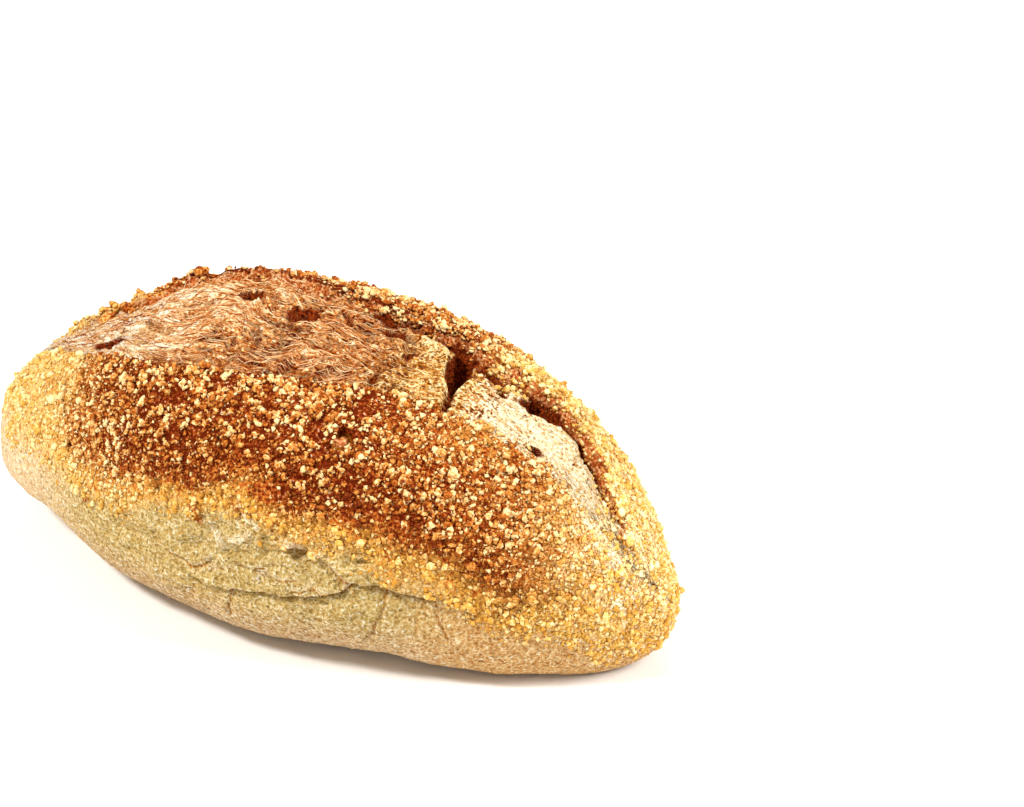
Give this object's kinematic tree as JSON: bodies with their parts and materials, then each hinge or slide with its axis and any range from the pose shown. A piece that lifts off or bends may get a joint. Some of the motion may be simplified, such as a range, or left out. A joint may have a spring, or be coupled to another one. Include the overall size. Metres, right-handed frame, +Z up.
{
  "type": "corn bread loaf",
  "caption": "Whole rustic corn bread loaf with pointed ends, a long open score along the top, a torn lower side and a rough coat of baked corn grits.",
  "frame": {"origin": "on the table under the middle of the loaf's box", "axes": "+X along the loaf towards its narrower tip, +Z up, -Y towards the side with the long tear"},
  "size_m": [0.2, 0.104, 0.0784],
  "materials": {
    "crust": "matte baked crust, golden to red-brown above and pale tan below",
    "bare_dough": "smooth stretched dough of the open score, matte, with fine lengthwise strands",
    "corn_grits": "toasted yellow corn grits, matte"
  },
  "bodies": {
    "root": {"loaf": "crust"}
  },
  "joints": []
}
